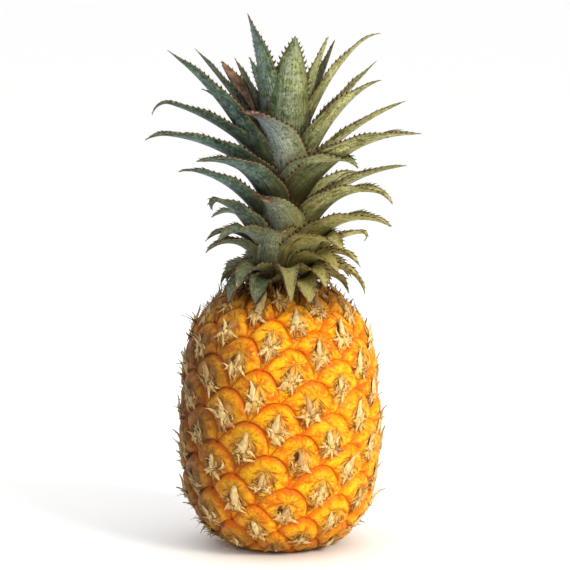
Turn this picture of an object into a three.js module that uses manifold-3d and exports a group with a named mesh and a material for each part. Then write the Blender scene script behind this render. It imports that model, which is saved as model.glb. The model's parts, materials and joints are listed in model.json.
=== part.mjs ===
// A ripe pineapple of the small spiny-leaved kind, standing on its base.
// Millimetres, +Z up. The origin is the middle of the flat spot that it stands on,
// and -Y is the side that faces the viewer. Azimuth 0 points to -Y and 90 to +X.
import * as THREE from "three";
import { mergeVertices } from "three/addons/utils/BufferGeometryUtils.js";
import Module from "manifold-3d";

const wasm = await Module();
wasm.setup();

const DEG = Math.PI / 180;
const MERGE_WITHIN = 1e-4; // points closer than this are one

// The fruit: radius and height along the valleys between the eyes, from foot to neck
const RIND_PROFILE = [
  [25, 0],
  [35.6, 9],
  [45.8, 24],
  [50.2, 52],
  [49.8, 78],
  [47.2, 103],
  [41.2, 117.5],
  [30.5, 129.5],
  [15, 136.5],
];
const PROFILE_DIVISIONS = 400; // for measuring along the curve through those points
const RELIEF_FADE = 9; // the eyes flatten out over this stretch at either end

// The eyes follow one spiral: each turns by the golden angle and climbs a little. Seen
// together they stand in eight rows that climb to the right and thirteen to the left.
const GOLDEN_ANGLE = 137.508;
const EYE_CLIMB = 1.28; // along the profile, from one eye to the next
const FRONT_EYE_AT = 79; // how far up the profile the eye that faces the viewer sits
const FRONT_EYE_AZIMUTH = -1;
const RIGHT_ROWS = 8;
const LEFT_ROWS = 13;
const ALL_ROWS = RIGHT_ROWS + LEFT_ROWS;

// An eye's upper rim is a round arch: its sides bend up and its corners sink and turn
const ARCH = 2.6;
const ARCH_SHARPNESS = 6; // a high power, which keeps the bend near the border
const CORNER_DROP = 2.2;
const CORNER_SLIP = -2.2; // degrees
const CORNER_SHARPNESS = 4;

// One eye's relief: how far each ring reaches to the eye's border, and its height. The
// point of the dry bract stands off above the eye's middle.
const BORDER_HEIGHT = -0.9;
const SHOULDER = { reach: 0.66, height: 1.9 };
const BRACT_FOOT = { reach: 0.25, height: 2.5 };
const BRACT_TIP = { reach: 0.42, height: 5 };

// The way round an eye from its lowest corner: right, top and left, with the middles
// between them. The first number goes along the right rows, the second the left rows.
const AROUND_EYE = [
  [-1, -1],
  [0, -1],
  [1, -1],
  [1, 0],
  [1, 1],
  [0, 1],
  [-1, 1],
  [-1, 0],
];

// Dry bracts that stand out on their own: upright round the neck, and low at the foot.
// Distance runs along the profile, and outwardness says how far a point leans out.
const NECK_BRACTS = { count: 17, distance: 143, spread: 8, length: 9, rise: 1, outwardness: 0.35 };
const FOOT_BRACTS = { count: 11, distance: 11, spread: 5, length: 8, rise: -0.25, outwardness: 1 };
const DRY_BRACT_RADIUS = 2;
const DRY_BRACT_SIDES = 4;
const DRY_BRACT_SINK = 3;
const DRY_BRACT_SHORTEST = 0.75; // as a share of the length given
const DRY_BRACT_DRIFT = 0.5; // how far one may stand from its even place, in spacings

// The cut stem in the foot of the fruit
const STUB_RADIUS = 10;
const STUB_HEIGHT = 6;
const STUB_SIDES = 24;
const GAP = 0.35;

// The crown: a short stem, a little to the right of the fruit's axis, and its leaves
const CROWN_X = 2;
const CROWN_FOOT = 137;
const CROWN_STEM = [
  [16.5, 0],
  [17.5, 6],
  [15.5, 24],
  [12, 44],
  [7, 62],
];
const CROWN_STEM_TOP = 67;
const CROWN_SIDES = 14;
const LEAF_SINK = 4.5; // how far a leaf's foot lies inside the stem
const SHEATH_SHARE = 0.16; // the share of a leaf that clasps the stem before it leans out
const SHEATH_ANGLE = 86;
const HOOK_SHARE = 0.15; // the share of a leaf, at its tip, that a hook bends
const FOOT_WIDTH_SHARE = 0.6;
const GUTTER_FOOT = 64; // half-angle of the leaf's hollow section, in degrees
const GUTTER_TIP = 42;
const BLADE_MIDRIB = 1.5; // thickness
const BLADE_EDGE = 0.75;
const BLADE_TIP = 0.7;
const SPINE_PITCH = 10.5;
const SPINE_HEIGHT = 1.3;
const SPINE_LEAN = 0.72; // how far along its stretch of edge a spine's point stands
const SPINE_FREE_FOOT = 2; // stretches of edge without a spine, at the foot
const LEAST_STRETCHES = 4; // in the shortest leaf
const PATH_SUBSTEPS = 6;

// Leaves seen from the front. Columns: azimuth, foot height, lift and bend in degrees,
// lateness of the bend, hook at the tip, sideways sway, length, width, and how late and
// bluntly the blade narrows to its tip.
const FRONT_LEAVES = [
  [-60, 46, 63, 30, 1.4, 0, 0, 99.5, 27, 1.9],
  [-108, 60, 57, 12, 1.5, 0, 0, 78, 14, 2.3],
  [-132, 58, 57, 10, 1.5, 0, 0, 71, 23, 3.2],
  [-112, 60, 70, 10, 1.5, 0, 0, 63, 16, 2.3],
  [-75, 48, 66, 31, 2, 20, 0, 68, 17, 2.3],
  [-66, 54, 47.5, 38, 1.2, 90, 0, 87, 20, 2.3],
  [-60, 46, 50, 50, 0.9, 30, 0, 86, 24, 2.3],
  [-42, 36, 69, 76, 1, 0, -20, 64, 26, 2.6],
  [-62, 28, 60, 56, 1.1, 20, 0, 64.5, 22, 2.3],
  [-58, 14, 62, 60, 2, 130, 0, 51, 26, 2.6],
  [-80, 14, 64, 116, 1.4, 0, 0, 38, 16, 2.3],
  [-68, 9, 62, 112, 1.4, 0, 0, 39, 17, 2.3],
  [-40, 12, 66, 104, 1.3, 0, -12, 46, 23, 2.6],
  [-86, 3, 54, 136, 1.1, 0, 0, 28, 14, 2.3],
  [-60, 1, 48, 120, 1.1, 0, 0, 28, 14, 2.3],
  [80, 58, 69.8, 38, 2.2, 25, 0, 90, 18, 2.3],
  [104, 58, 55, 13, 1.5, 0, 0, 75, 15, 2.3],
  [56, 46, 67, 44, 1.5, 10, 0, 84, 23, 2.3],
  [80, 50, 47, 26, 1.5, 0, 0, 76, 18, 2.3],
  [50, 38, 58, 58, 0.9, 0, 0, 97, 28, 2.3],
  [42, 41, 67, 90, 1.3, 30, 20, 56, 30, 2.6],
  [75, 31, 47.5, 42, 1.2, 0, 0, 67, 19, 2.3],
  [50, 20, 60, 86, 1.4, 35, 8, 74, 27, 2.3],
  [52, 11, 62, 83, 1.1, 10, 10, 66, 27, 2.3],
  [80, 7, 60, 70, 1.3, 150, 0, 44, 16, 2.3],
  [74, 7, 62, 124, 1.2, 0, 0, 36, 16, 2.3],
  [80, 2, 46, 130, 1.2, 0, 0, 41, 14, 2.3],
  [45, 7, 62, 122, 1.1, 0, 0, 33, 22, 2.3],
  [-28, 46, 82, 15, 1.5, 0, -30, 98, 23, 2.6],
  [12, 36, 84, 9, 1.5, 0, 6, 95, 26, 5],
  [60, 50, 81, 17, 2, 0, 0, 82, 18, 2.6],
  [112, 55, 74, 8, 1.5, 0, 0, 76, 20, 2.3],
  [-8, 38, 82, 70, 2.2, 0, -75, 66, 34, 3.2],
  [-6, 11, 82, 72, 2, 0, -75, 48, 33, 3.2],
  [34, 4, 74, 112, 1.3, 0, 10, 50, 30, 2.6],
  [-12, 2, 80, 96, 2.4, 0, 34, 40, 36, 3],
  [4, 1, 48, 124, 1.2, 0, 0, 52, 17, 1.9],
  [-38, 2, 56, 128, 1.2, 0, 0, 34, 20, 2.3],
  [34, 2, 56, 128, 1.2, 0, 0, 34, 18, 2.3],
  [-24, 0, 46, 124, 1, 0, 0, 31, 20, 2.3],
  [22, 0, 46, 124, 1, 0, 0, 31, 22, 2.3],
  [-52, 0, 46, 124, 1, 0, 0, 32, 18, 2.3],
];

// Leaves on the far side, placed by rule: short and recurved below, long and upright
// above, and a few more that droop round the neck
const BACK_LEAVES = {
  count: 13,
  azimuth: 180,
  spread: 140,
  foot: [2, 62],
  lift: [54, 78],
  bend: [124, 12],
  late: [1.2, 1.6],
  length: [32, 66],
  width: [12, 20],
  taper: 2.3,
};
const BACK_NECK_LEAVES = {
  count: 7,
  azimuth: 180,
  spread: 150,
  foot: [0, 3],
  lift: [46, 56],
  bend: [124, 124],
  late: [1, 1.2],
  length: [30, 34],
  width: [18, 24],
  taper: 2.3,
};
const LONGEST_AT = 0.75; // the share of the way up at which they reach full length
const GOLDEN_SHARE = 0.618034;
const JITTER = 4; // degrees

// Random numbers come from a fixed start, so every build is the same
const SEED = 7;
const RANDOM_FACTOR = 16807;
const RANDOM_RANGE = 2147483647;

// Tools that turn geometry into solids and back
function solidFrom(geometry) {
  const bare = geometry.clone();
  bare.deleteAttribute("normal");
  bare.deleteAttribute("uv");
  const merged = mergeVertices(bare, MERGE_WITHIN);
  return new wasm.Manifold(
    new wasm.Mesh({
      numProp: 3,
      vertProperties: merged.attributes.position.array,
      triVerts: new Uint32Array(merged.index.array),
    }),
  );
}

function geometryFrom(solid) {
  const mesh = solid.getMesh();
  const geometry = new THREE.BufferGeometry();
  geometry.setAttribute("position", new THREE.BufferAttribute(mesh.vertProperties, 3));
  geometry.setIndex(new THREE.BufferAttribute(mesh.triVerts, 1));
  geometry.computeVertexNormals();
  return geometry;
}

function indexed(vertices, faces) {
  const geometry = new THREE.BufferGeometry();
  geometry.setAttribute("position", new THREE.Float32BufferAttribute(vertices, 3));
  geometry.setIndex(faces);
  return geometry;
}

// Joins solids in pairs, so that each step works on small pieces
function joinAll(solids) {
  let row = solids;
  while (row.length > 1) {
    const next = [];
    for (let i = 0; i < row.length; i += 2) {
      next.push(i + 1 < row.length ? row[i].add(row[i + 1]) : row[i]);
    }
    row = next;
  }
  return row[0];
}

// The outer skin of a solid on its own, without the pockets sealed up inside it
function outerSkin(solid) {
  const skins = solid.decompose();
  return skins.reduce((best, skin) => (skin.volume() > best.volume() ? skin : best));
}

function makeRandom(seed) {
  let state = seed;
  return () => {
    state = (state * RANDOM_FACTOR) % RANDOM_RANGE;
    return state / RANDOM_RANGE;
  };
}

// A turned solid around +Z, from [radius, height] pairs that start and end on the axis
function turned(profile, sides) {
  const points = profile.map(([radius, height]) => new THREE.Vector2(radius, height));
  return new THREE.LatheGeometry(points, sides).rotateX(Math.PI / 2);
}

function outward(azimuth) {
  return new THREE.Vector3(Math.sin(azimuth * DEG), -Math.cos(azimuth * DEG), 0);
}

// The fruit
const rindCurve = new THREE.SplineCurve(
  RIND_PROFILE.map(([radius, height]) => new THREE.Vector2(radius, height)),
);
rindCurve.arcLengthDivisions = PROFILE_DIVISIONS;
const RIND_LENGTH = rindCurve.getLength();

// A point of the rind, at a height above its valleys. Past either end of the profile
// the rind goes on as a flat disc that shrinks towards the axis.
function rindPoint(azimuth, distance, height) {
  const inside = THREE.MathUtils.clamp(distance, 0, RIND_LENGTH);
  const share = inside / RIND_LENGTH;
  const valley = rindCurve.getPointAt(share);
  const slope = rindCurve.getTangentAt(share);
  const fade = Math.min(1, inside / RELIEF_FADE, (RIND_LENGTH - inside) / RELIEF_FADE);
  const rise = height * fade;
  const disc = valley.x * Math.exp(-Math.abs(distance - inside) / valley.x);
  const point = outward(azimuth).multiplyScalar(disc + slope.y * rise);
  point.z = valley.y - slope.x * rise;
  return point;
}

// The turn of a step over some eyes, brought to between -180 and 180 degrees
function turnOf(eyes) {
  const turn = (eyes * GOLDEN_ANGLE) % 360;
  return turn > 180 ? turn - 360 : turn;
}

// A place on eye n, where right and left count from -1 to 1 along the two sets of rows
function eyePoint(n, right, left, height) {
  const turn = right * turnOf(RIGHT_ROWS) + left * turnOf(LEFT_ROWS);
  const climb = (n + (right * RIGHT_ROWS + left * LEFT_ROWS) / 2) * EYE_CLIMB;
  const corner = (right * left) ** CORNER_SHARPNESS;
  const rightSide = (1 - left ** 2) * right ** ARCH_SHARPNESS;
  const leftSide = (1 - right ** 2) * left ** ARCH_SHARPNESS;
  const lift = ARCH * (rightSide + leftSide) - CORNER_DROP * corner;
  const azimuth = FRONT_EYE_AZIMUTH + n * GOLDEN_ANGLE + turn / 2 + CORNER_SLIP * corner;
  return rindPoint(azimuth, FRONT_EYE_AT + climb + lift, height);
}

// The keys of an eye's border points, in the order of the way round. Corner n is the
// lowest corner of eye n, and the middle of a side is named by the corner it starts from.
function borderKeys(n) {
  return [
    `corner ${n}`,
    `right side ${n}`,
    `corner ${n + RIGHT_ROWS}`,
    `left side ${n + RIGHT_ROWS}`,
    `corner ${n + ALL_ROWS}`,
    `right side ${n + LEFT_ROWS}`,
    `corner ${n + LEFT_ROWS}`,
    `left side ${n}`,
  ];
}

// The whole rind as one closed surface: a patch for each eye, which shares its border
// with its neighbours, and a fan at either end
function rindGeometry() {
  const vertices = [];
  const faces = [];
  const borders = new Map();
  const put = (point) => vertices.push(point.x, point.y, point.z) / 3 - 1;
  const ring = (n, way, { reach, height }) =>
    way.map(([right, left]) => put(eyePoint(n, right * reach, left * reach, height)));

  const addEye = (n) => {
    const border = borderKeys(n).map((key, i) => {
      if (!borders.has(key)) borders.set(key, put(eyePoint(n, ...AROUND_EYE[i], BORDER_HEIGHT)));
      return borders.get(key);
    });
    const corners = AROUND_EYE.filter((way, i) => i % 2 === 0);
    const shoulder = ring(n, AROUND_EYE, SHOULDER);
    const foot = ring(n, corners, BRACT_FOOT);
    const tip = put(eyePoint(n, BRACT_TIP.reach, BRACT_TIP.reach, BRACT_TIP.height));
    border.forEach((from, i) => {
      const j = (i + 1) % border.length;
      faces.push(from, border[j], shoulder[j], from, shoulder[j], shoulder[i]);
    });
    foot.forEach((from, i) => {
      const j = (i + 1) % foot.length;
      const side = shoulder[2 * i + 1];
      faces.push(shoulder[2 * i], side, from);
      faces.push(side, foot[j], from);
      faces.push(side, shoulder[2 * j], foot[j]);
      faces.push(from, foot[j], tip);
    });
  };
  const lowest = Math.ceil(-FRONT_EYE_AT / EYE_CLIMB - ALL_ROWS / 2);
  const highest = Math.floor((RIND_LENGTH - FRONT_EYE_AT) / EYE_CLIMB + ALL_ROWS / 2);
  for (let n = lowest; n <= highest; n += 1) addEye(n);

  // Each end's rim runs from corner to corner, one row up or one row down at a time
  const closeEnd = (first, height, facesUp) => {
    const middle = put(new THREE.Vector3(0, 0, height));
    let n = first;
    do {
      const climbs = n + RIGHT_ROWS < first + ALL_ROWS;
      const next = climbs ? n + RIGHT_ROWS : n - LEFT_ROWS;
      const from = borders.get(`corner ${n}`);
      const between = borders.get(climbs ? `right side ${n}` : `left side ${next}`);
      const to = borders.get(`corner ${next}`);
      if (facesUp) faces.push(middle, from, between, middle, between, to);
      else faces.push(middle, between, from, middle, to, between);
      n = next;
    } while (n !== first);
  };
  closeEnd(lowest, 0, false);
  closeEnd(highest + 1, rindCurve.getPoint(1).y, true);
  return indexed(vertices, faces);
}

// Small dry bracts around the fruit, each a flat-sided spike with its root in the rind
const CONE_AXIS = new THREE.Vector3(0, 1, 0); // the way a cone points before it is turned
function dryBracts({ count, distance, spread, length, rise, outwardness }, random) {
  const spikes = [];
  for (let i = 0; i < count; i += 1) {
    const azimuth = ((i + DRY_BRACT_DRIFT * random()) * 360) / count;
    const out = outward(azimuth);
    const root = rindPoint(azimuth, distance + spread * (random() - 0.5), 0);
    const way = out.clone().multiplyScalar(outwardness);
    way.z = rise;
    way.normalize();
    const share = DRY_BRACT_SHORTEST + (1 - DRY_BRACT_SHORTEST) * random();
    const size = length * share + DRY_BRACT_SINK;
    const spike = new THREE.ConeGeometry(DRY_BRACT_RADIUS, size, DRY_BRACT_SIDES);
    spike.translate(0, size / 2 - DRY_BRACT_SINK, 0);
    spike.applyQuaternion(new THREE.Quaternion().setFromUnitVectors(CONE_AXIS, way));
    spikes.push(spike.translate(root.x, root.y, root.z));
  }
  return spikes;
}

// The fruit stands on its flat foot, with a socket there round the cut stem
function makeFruit() {
  const random = makeRandom(SEED);
  const bracts = [...dryBracts(NECK_BRACTS, random), ...dryBracts(FOOT_BRACTS, random)];
  const radius = STUB_RADIUS + GAP;
  const socket = new THREE.CylinderGeometry(radius, radius, 2 * (STUB_HEIGHT + GAP), STUB_SIDES);
  const whole = joinAll([rindGeometry(), ...bracts].map(solidFrom));
  return whole.subtract(solidFrom(socket.rotateX(Math.PI / 2)));
}

function makeStub() {
  const stub = new THREE.CylinderGeometry(STUB_RADIUS, STUB_RADIUS, STUB_HEIGHT, STUB_SIDES);
  return stub.rotateX(Math.PI / 2).translate(0, 0, STUB_HEIGHT / 2);
}

// The crown
function stemRadius(height) {
  const last = CROWN_STEM.length - 1;
  for (let i = 0; i < last; i += 1) {
    const [r0, z0] = CROWN_STEM[i];
    const [r1, z1] = CROWN_STEM[i + 1];
    if (height <= z1) return r0 + ((r1 - r0) * Math.max(0, height - z0)) / (z1 - z0);
  }
  return CROWN_STEM[last][0];
}

// A leaf's lean above the level, at a share t of its length
function leanAt(t, { lift, bend, late, hook }) {
  const clasp = Math.max(0, 1 - t / SHEATH_SHARE) ** 2;
  const hooked = Math.max(0, (t - 1 + HOOK_SHARE) / HOOK_SHARE);
  return lift + (SHEATH_ANGLE - lift) * clasp - bend * t ** late - hook * hooked;
}

function widthAt(t, { width, taper }) {
  const foot = FOOT_WIDTH_SHARE + (1 - FOOT_WIDTH_SHARE) * Math.min(1, t / SHEATH_SHARE);
  return width * foot * (1 - t ** taper);
}

// The directions along a leaf, towards its hollow face, and across it
function leafFrame(t, shape) {
  const lean = leanAt(t, shape) * DEG;
  const level = outward(shape.azimuth + shape.sway * t * t);
  const along = level.clone().multiplyScalar(Math.cos(lean));
  along.z = Math.sin(lean);
  const inner = level.multiplyScalar(-Math.sin(lean));
  inner.z = Math.cos(lean);
  const across = new THREE.Vector3().crossVectors(along, inner);
  return { along, inner, across };
}

// Stations along a leaf's midrib, one for each spine
function leafPath(shape) {
  const steps = Math.max(LEAST_STRETCHES, Math.round(shape.length / SPINE_PITCH));
  const here = outward(shape.azimuth).multiplyScalar(stemRadius(shape.foot) - LEAF_SINK);
  here.z = shape.foot;
  const stations = [];
  for (let i = 0; i <= steps; i += 1) {
    const t = i / steps;
    stations.push({ t, point: here.clone(), ...leafFrame(t, shape) });
    for (let k = 0; k < PATH_SUBSTEPS; k += 1) {
      const middle = (i + (k + 0.5) / PATH_SUBSTEPS) / steps;
      here.addScaledVector(leafFrame(middle, shape).along, shape.length / steps / PATH_SUBSTEPS);
    }
  }
  return stations;
}

// The six corners of a leaf's hollow section, going round it: left to right over the
// hollow face and back along the outer face. An edge is named by its first corner.
const RIGHT_EDGE = 2;
const LEFT_EDGE = 5;

function leafSection({ t, point, inner, across }, shape) {
  const half = widthAt(t, shape) / 2;
  const arc = (GUTTER_FOOT + (GUTTER_TIP - GUTTER_FOOT) * t) * DEG;
  const reach = (half * Math.sin(arc)) / arc;
  const rise = (half * (1 - Math.cos(arc))) / arc;
  const midrib = BLADE_MIDRIB + (BLADE_TIP - BLADE_MIDRIB) * t;
  const corners = [
    [-reach, rise],
    [0, 0],
    [reach, rise],
    [reach, rise - BLADE_EDGE],
    [0, -midrib],
    [-reach, rise - BLADE_EDGE],
  ];
  return corners.map(([u, v]) => point.clone().addScaledVector(across, u).addScaledVector(inner, v));
}

// One blade: a hollow strip that narrows to its tip, with a spine on each stretch of edge
function leafBlade(row) {
  const [azimuth, foot, lift, bend, late, hook, sway, length, width, taper] = row;
  const shape = { azimuth, foot, lift, bend, late, hook, sway, length, width, taper };
  const stations = leafPath(shape);
  const last = stations.length - 1;
  const sections = stations.slice(0, last).map((station) => leafSection(station, shape));
  const vertices = [];
  const faces = [];
  const put = (point) => vertices.push(point.x, point.y, point.z) / 3 - 1;
  const rings = sections.map((section) => section.map(put));
  const quad = (a, b, c, d) => faces.push(a, b, c, a, c, d);

  const addSpine = (i, a, b, direction) => {
    const corners = [rings[i][a], rings[i][b], rings[i + 1][b], rings[i + 1][a]];
    const near = sections[i][a].clone().lerp(sections[i][b], 0.5);
    const far = sections[i + 1][a].clone().lerp(sections[i + 1][b], 0.5);
    const point = near.lerp(far, SPINE_LEAN);
    const tip = put(point.addScaledVector(stations[i].across, direction * SPINE_HEIGHT));
    corners.forEach((corner, k) => faces.push(corner, corners[(k + 1) % corners.length], tip));
  };
  for (let i = 0; i + 1 < last; i += 1) {
    const spiny = i >= SPINE_FREE_FOOT;
    rings[i].forEach((corner, k) => {
      const next = (k + 1) % rings[i].length;
      const edge = k === RIGHT_EDGE || k === LEFT_EDGE;
      if (edge && spiny) addSpine(i, k, next, k === RIGHT_EDGE ? 1 : -1);
      else quad(corner, rings[i][next], rings[i + 1][next], rings[i + 1][k]);
    });
  }
  const tip = put(stations[last].point);
  rings[last - 1].forEach((corner, k, ring) => faces.push(corner, ring[(k + 1) % ring.length], tip));
  const [leftTop, midTop, rightTop, rightUnder, midUnder, leftUnder] = rings[0];
  quad(leftTop, leftUnder, midUnder, midTop);
  quad(midTop, midUnder, rightUnder, rightTop);
  return indexed(vertices, faces);
}

function leavesByRule(rule) {
  const random = makeRandom(SEED);
  const between = ([low, high], share) => low + (high - low) * share;
  const leaves = [];
  for (let i = 0; i < rule.count; i += 1) {
    const q = i / (rule.count - 1);
    const place = ((i * GOLDEN_SHARE) % 1) - 0.5;
    leaves.push([
      rule.azimuth + rule.spread * place + JITTER * (random() - 0.5),
      between(rule.foot, q),
      between(rule.lift, q) + JITTER * (random() - 0.5),
      between(rule.bend, q),
      between(rule.late, q),
      0,
      0,
      between(rule.length, Math.sin(Math.min(1, q / LONGEST_AT) * 90 * DEG)),
      between(rule.width, Math.sin(q * 180 * DEG)),
      rule.taper,
    ]);
  }
  return leaves;
}

function makeCrown() {
  const stem = turned([[0, 0], ...CROWN_STEM, [0, CROWN_STEM_TOP]], CROWN_SIDES);
  const rules = [BACK_LEAVES, BACK_NECK_LEAVES];
  const blades = [...FRONT_LEAVES, ...rules.flatMap(leavesByRule)].map(leafBlade);
  return outerSkin(joinAll([stem, ...blades].map(solidFrom)));
}

// The model
const rind = new THREE.MeshStandardMaterial({ color: 0xf29a14, roughness: 0.5 });
const leaf = new THREE.MeshStandardMaterial({ color: 0x5f7f6a, roughness: 0.62 });
const wood = new THREE.MeshStandardMaterial({ color: 0xb79a6a, roughness: 0.85 });

function named(name, geometry, material) {
  const mesh = new THREE.Mesh(geometry, material);
  mesh.name = name;
  return mesh;
}

const pineapple = new THREE.Group();
pineapple.add(named("fruit", geometryFrom(makeFruit()), rind));
pineapple.add(named("stem_stub", makeStub(), wood));

const crown = new THREE.Group();
crown.position.set(CROWN_X, 0, CROWN_FOOT);
crown.add(named("crown", geometryFrom(makeCrown()), leaf));
pineapple.add(crown);

export default pineapple;
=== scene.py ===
# %% [markdown]
# # A ripe pineapple
# The pineapple stands upright on its own base. It has two kinds of surface that this
# lesson makes: a rind of bulging, glossy, golden eyes with dry papery bracts on them,
# and a crown of stiff, waxy, hollow leaves with a row of spines along each edge. The
# plain solids are already there as a frame, and every piece here is built around them.

import json
import math

import bmesh
import bpy
import numpy as np
from mathutils import Matrix, Vector

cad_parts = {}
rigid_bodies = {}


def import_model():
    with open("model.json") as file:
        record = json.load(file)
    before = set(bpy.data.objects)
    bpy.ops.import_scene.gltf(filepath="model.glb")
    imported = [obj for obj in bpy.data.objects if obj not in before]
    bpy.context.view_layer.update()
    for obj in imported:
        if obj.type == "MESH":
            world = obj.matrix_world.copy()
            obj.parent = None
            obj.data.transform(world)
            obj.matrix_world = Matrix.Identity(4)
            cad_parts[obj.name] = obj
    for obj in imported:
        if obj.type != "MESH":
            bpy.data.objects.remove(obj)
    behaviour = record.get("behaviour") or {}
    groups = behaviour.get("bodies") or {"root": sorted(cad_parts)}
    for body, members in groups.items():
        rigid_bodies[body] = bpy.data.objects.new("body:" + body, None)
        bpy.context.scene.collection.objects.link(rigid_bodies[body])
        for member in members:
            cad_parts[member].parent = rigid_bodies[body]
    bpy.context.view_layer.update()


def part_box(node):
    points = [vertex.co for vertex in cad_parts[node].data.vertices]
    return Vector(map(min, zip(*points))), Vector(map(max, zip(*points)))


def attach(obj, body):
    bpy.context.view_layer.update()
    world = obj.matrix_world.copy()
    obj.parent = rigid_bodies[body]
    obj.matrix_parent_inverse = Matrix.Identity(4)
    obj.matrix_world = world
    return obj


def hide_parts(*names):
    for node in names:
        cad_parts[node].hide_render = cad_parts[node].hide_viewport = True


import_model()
MM = 0.001
fruit_low, fruit_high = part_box("fruit")
crown_low, crown_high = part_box("crown")
print("fruit", [round(v / MM, 1) for v in fruit_high - fruit_low], "mm")
print("crown", [round(v / MM, 1) for v in crown_high - crown_low], "mm")

# %% [markdown]
# ## Camera
# The photograph was taken from a little above the middle of the fruit, with a long
# lens. A pixel covers about half a millimetre there, so the lens follows from the
# width of the picture and the distance.

# %% Camera
PHOTO_SIDE = 570
PIXEL = 0.522 * MM
CAMERA_DISTANCE = 1.25
CAMERA_RISE = math.radians(7)
LOOK_AT = Vector((2.6, 0, 136.7)) * MM
SENSOR = 36


def in_scene(name, data):
    """A new object in the scene."""
    made = bpy.data.objects.new(name, data)
    bpy.context.scene.collection.objects.link(made)
    return made


def look_from(thing, place):
    """Moves a camera or lamp, which both look along their own -Z, and aims it."""
    thing.location = place
    thing.rotation_euler = (LOOK_AT - place).to_track_quat("-Z", "Y").to_euler()


lens = bpy.data.cameras.new("camera")
lens.sensor_width = SENSOR
lens.lens = SENSOR * CAMERA_DISTANCE / (PHOTO_SIDE * PIXEL)
camera = in_scene("camera", lens)
back = Vector((0, -math.cos(CAMERA_RISE), math.sin(CAMERA_RISE)))
look_from(camera, LOOK_AT + CAMERA_DISTANCE * back)
bpy.context.scene.camera = camera
print("lens", round(lens.lens), "mm")

# %% [markdown]
# ## Formulas for node trees
# A pattern on a surface is a formula: this colour where the distance to the seam is
# small, that one where a noise is high. Such formulas are easiest to read as plain
# sums, so one small class wraps a node's output and adds a Math node for each operator.
# A second one keeps a node tree and adds any other node to it.

# %% Formulas for node trees
class Wire:
    """A node's output that can stand in a formula."""

    def __init__(self, graph, socket):
        self.graph = graph
        self.socket = socket

    def math(self, operation, *values):
        sockets = dict(enumerate(values))
        return self.graph.node("ShaderNodeMath", sockets, operation=operation)

    def __abs__(self):
        return self.math("ABSOLUTE", self)


OPERATORS = {"add": "ADD", "sub": "SUBTRACT", "mul": "MULTIPLY"}
OPERATORS.update(truediv="DIVIDE", pow="POWER")


def operator(operation, turned):
    """A method that adds a Math node for wire * 2, or turned round for 2 * wire."""

    def method(self, other):
        return self.math(operation, *((other, self) if turned else (self, other)))

    return method


for sign, operation in OPERATORS.items():
    setattr(Wire, f"__{sign}__", operator(operation, False))
    setattr(Wire, f"__r{sign}__", operator(operation, True))


def look(red, green, blue):
    """A colour of 0 to 255 as it looks, in the even steps of light a shader takes."""
    values = (red / 255, green / 255, blue / 255)
    light = [v / 12.92 if v <= 0.04045 else ((v + 0.055) / 1.055) ** 2.4 for v in values]
    return (*light, 1)


class Graph:
    """A node tree with one method that adds a node, and short names for common ones."""

    def __init__(self, tree):
        self.tree = tree

    def node(self, kind, sockets=(), out=0, **settings):
        """Adds a node, sets its settings, then fills or links its sockets."""
        made = self.tree.nodes.new(kind)
        for name, value in settings.items():
            setattr(made, name, value)
        for place, value in dict(sockets).items():
            if isinstance(value, Wire):
                self.tree.links.new(value.socket, made.inputs[place])
            else:
                made.inputs[place].default_value = value
        return Wire(self, made.outputs[out]) if len(made.outputs) else made

    def rise(self, value, low, high):
        """0 below low, 1 above high and smooth between. It falls where low is over high."""
        sockets = {"Value": value, "From Min": low, "From Max": high}
        return self.node("ShaderNodeMapRange", sockets, interpolation_type="SMOOTHSTEP")

    def mix(self, share, first, second):
        """A colour laid over another. Each is a wire, or 0 to 255 as it looks."""
        first, second = [c if isinstance(c, Wire) else look(*c) for c in (first, second)]
        return self.node("ShaderNodeMix", {0: share, 6: first, 7: second}, 2, data_type="RGBA")

    def layers(self, colour, *layers):
        """A colour with others laid over it in turn, each as (share, colour)."""
        for share, over in layers:
            colour = self.mix(share, colour, over)
        return colour

    def bump(self, strength, distance, height):
        """A normal that follows a height. The distance is in millimetres."""
        sockets = {"Strength": strength, "Distance": distance * MM, "Height": height}
        return self.node("ShaderNodeBump", sockets)

    def noise(self, vector, scale, detail=2, roughness=0.5):
        sockets = {"Vector": vector, "Scale": scale, "Detail": detail, "Roughness": roughness}
        return self.node("ShaderNodeTexNoise", sockets)

    def vector(self, x, y, z):
        return self.node("ShaderNodeCombineXYZ", {0: x, 1: y, 2: z})

    def parts(self, vector):
        split = self.node("ShaderNodeSeparateXYZ", {0: vector}).socket.node
        return [Wire(self, socket) for socket in split.outputs]

    def scaled(self, vector, x, y, z):
        sockets = {0: vector, 1: (x, y, z)}
        return self.node("ShaderNodeVectorMath", sockets, operation="MULTIPLY")

    def attributes(self, *names):
        """Numbers that a mesh keeps under these names."""
        kind = "ShaderNodeAttribute"
        return [self.node(kind, out="Fac", attribute_name=name) for name in names]

    def place(self):
        return self.node("ShaderNodeTexCoord", out="Object")


def sheen_finish(name, paint, **constants):
    """A material whose pattern is drawn by paint(graph), which returns its sockets."""
    material = bpy.data.materials.new(name)
    material.use_nodes = True
    graph = Graph(material.node_tree)
    shader = material.node_tree.nodes["Principled BSDF"]
    for socket, value in constants.items():
        shader.inputs[socket.replace("_", " ")].default_value = value
    for socket, wire in paint(graph).items():
        material.node_tree.links.new(wire.socket, shader.inputs[socket])
    return material


print("formulas ready")

# %% [markdown]
# ## Floor and light
# The photograph has a plain white ground. A warm key light comes from the right and a
# little above, so the right of the fruit glows yellow, and a cool weak fill lies on
# the left. The world lights all sides softly. It looks white behind the object.

# %% Floor and light
FLOOR_SIZE = 400  # so wide that its far edge lies above the picture
FLOOR_DROP = 0.3 * MM  # keeps the floor just under the fruit's flat foot
SQUARE = [(-1, -1), (1, -1), (1, 1), (-1, 1)]


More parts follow.
